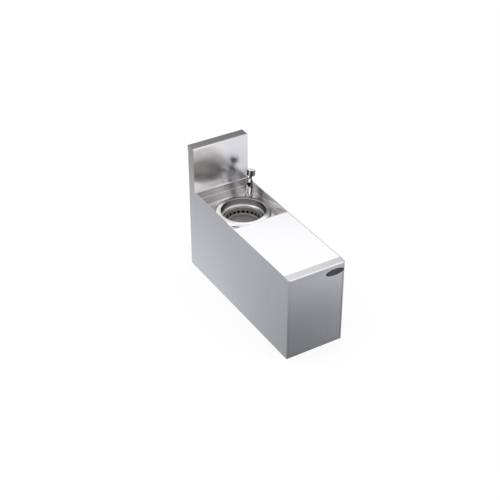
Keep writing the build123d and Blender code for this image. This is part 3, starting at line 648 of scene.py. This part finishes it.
for row in frame["record"]["subparts"]:
    node = frame["nodes"][row["node"]]
    for index in range(len(node.material_slots)):
        node.material_slots[index].material = materials[row["material_slot"]]
spout = frame["nodes"]["spout"]
spout.material_slots[0].material = chrome_painted_reflection("spout_chrome_look", SPOUT_BANDS)


# Camera, in the frame's axes: millimetres and degrees
CAMERA_PLACE = (-1602.0, -2580.1, 2276.9)
CAMERA_AZIMUTH = -31.030
CAMERA_ELEVATION = 34.457
FOCAL_PIXELS = 1148.90
IMAGE_PIXELS = 500
SENSOR_MM = 36.0
FAR_END = 60.0

azimuth = math.radians(CAMERA_AZIMUTH)
elevation = math.radians(CAMERA_ELEVATION)
back = Vector((
    math.sin(azimuth) * math.cos(elevation),
    -math.cos(azimuth) * math.cos(elevation),
    math.sin(elevation),
))
right = Vector((math.cos(azimuth), math.sin(azimuth), 0.0))
camera_data = bpy.data.cameras.new("camera")
camera_data.sensor_fit = "HORIZONTAL"
camera_data.sensor_width = SENSOR_MM
camera_data.lens = FOCAL_PIXELS * SENSOR_MM / IMAGE_PIXELS
camera_data.clip_end = FAR_END
camera = bpy.data.objects.new("camera", camera_data)
bpy.context.collection.objects.link(camera)
turn = Matrix((right, back.cross(right), back)).transposed().to_4x4()
camera.matrix_world = Matrix.Translation(Vector(CAMERA_PLACE) * MM) @ turn
bpy.context.scene.camera = camera

# World: a plain studio dome. Behind the right of the object it ends in a bright band.
DOME_STRENGTH = 2.0
DOME_TINT = (1.0, 1.0, 1.02)
AMBIENT = [(-90, 0.40), (-2, 0.42), (8, 0.42), (20, 0.34), (31, 0.34), (38, 0.46), (52, 0.46), (90, 0.44)]
BAND = [
    (-90, 0.40), (-2, 0.42), (8, 0.34), (22, 0.13), (30.6, 0.13), (31.0, 0.25),
    (31.8, 0.675), (36.5, 0.67), (40, 0.60), (45, 0.45), (60, 0.42), (90, 0.44),
]
FRONT = [(-90, 0.40), (-2, 0.42), (10, 0.46), (24, 0.54), (40, 0.56), (60, 0.50), (90, 0.44)]
BAND_TOWARDS = (0.51, 0.86)
FRONT_TOWARDS = (0.51, -0.86)


def sky(tree, height, stops):
    """Brightness of the dome by the elevation of the direction, in degrees."""
    return levels(tree, height, [(math.sin(math.radians(angle)), level) for angle, level in stops])


def sector(tree, x, y, towards):
    """1 in the part of the dome that lies towards a direction, 0 away from it."""
    along = plus(tree, times(tree, x, towards[0]), times(tree, y, towards[1]))
    return share(tree, over(tree, along, distance(tree, x, y)), 0.45, 0.85)


world = bpy.data.worlds.new("studio")
bpy.context.scene.world = world
world.use_nodes = True
tree = world.node_tree
background = tree.nodes["Background"]
outwards = add(tree, "ShaderNodeTexCoord").outputs["Generated"]
x, y, z = (part_of(tree, outwards, axis) for axis in "XYZ")
level = blended(tree, sector(tree, x, y, BAND_TOWARDS), sky(tree, z, AMBIENT), sky(tree, z, BAND))
level = blended(tree, sector(tree, x, y, FRONT_TOWARDS), level, sky(tree, z, FRONT))
link(tree, toned(tree, DOME_TINT, level), background.inputs["Color"])
background.inputs["Strength"].default_value = DOME_STRENGTH

# Floor: it glows where it is seen or mirrored, and is plain white for all other light
FLOOR_RADIUS = 14.0
FLOOR_SIDES = 64
FLOOR_BELOW = 0.0003
SEEN_GREY = (0.22, 0.22, 0.22, 1.0)
SEEN_GLOW = 0.82

mesh = bpy.data.meshes.new("studio_floor")
angles = [2 * math.pi * i / FLOOR_SIDES for i in range(FLOOR_SIDES)]
ring = [(FLOOR_RADIUS * math.cos(angle), FLOOR_RADIUS * math.sin(angle), 0.0) for angle in angles]
mesh.from_pydata(ring, [], [list(range(FLOOR_SIDES))])
floor = bpy.data.objects.new("studio_floor", mesh)
bpy.context.collection.objects.link(floor)
floor.location.z = -FLOOR_BELOW
material = bpy.data.materials.new("studio_floor_look")
material.use_nodes = True
tree = material.node_tree
tree.nodes.clear()
output = add(tree, "ShaderNodeOutputMaterial")
diffuse = add(tree, "ShaderNodeBsdfDiffuse")
grain = noise(tree, object_point(tree), 3.0)
link(tree, mix_colour(tree, grain, (0.90, 0.90, 0.90), (0.92, 0.92, 0.92)), diffuse.inputs["Color"])
soft = add(tree, "ShaderNodeBsdfDiffuse")
soft.inputs["Color"].default_value = SEEN_GREY
glow = add(tree, "ShaderNodeEmission")
glow.inputs["Strength"].default_value = SEEN_GLOW
joined = add(tree, "ShaderNodeAddShader")
link(tree, soft.outputs[0], joined.inputs[0])
link(tree, glow.outputs[0], joined.inputs[1])
path = add(tree, "ShaderNodeLightPath")
seen = math_node(tree, "MAXIMUM", path.outputs["Is Camera Ray"], path.outputs["Is Glossy Ray"])
seen = math_node(tree, "MAXIMUM", seen, path.outputs["Is Transmission Ray"])
mixer = add(tree, "ShaderNodeMixShader")
link(tree, seen, mixer.inputs[0])
link(tree, diffuse.outputs[0], mixer.inputs[1])
link(tree, joined.outputs[0], mixer.inputs[2])
link(tree, mixer.outputs[0], output.inputs["Surface"])
mesh.materials.append(material)

# Key lamp: a square softbox high up on the left
KEY_PLACE = (-1.6, 0.6, 2.6)
KEY_AIM = (0, 0, 0.2)
KEY_SIZE = 1.2
KEY_POWER = 8.0

lamp_data = bpy.data.lights.new("key", "AREA")
lamp_data.shape = "RECTANGLE"
lamp_data.size = KEY_SIZE
lamp_data.size_y = KEY_SIZE
lamp_data.energy = KEY_POWER
lamp = bpy.data.objects.new("key", lamp_data)
bpy.context.collection.objects.link(lamp)
lamp.location = KEY_PLACE
lamp.rotation_euler = (Vector(KEY_AIM) - Vector(KEY_PLACE)).to_track_quat("-Z", "Y").to_euler()

bpy.context.scene.view_settings.view_transform = "Standard"
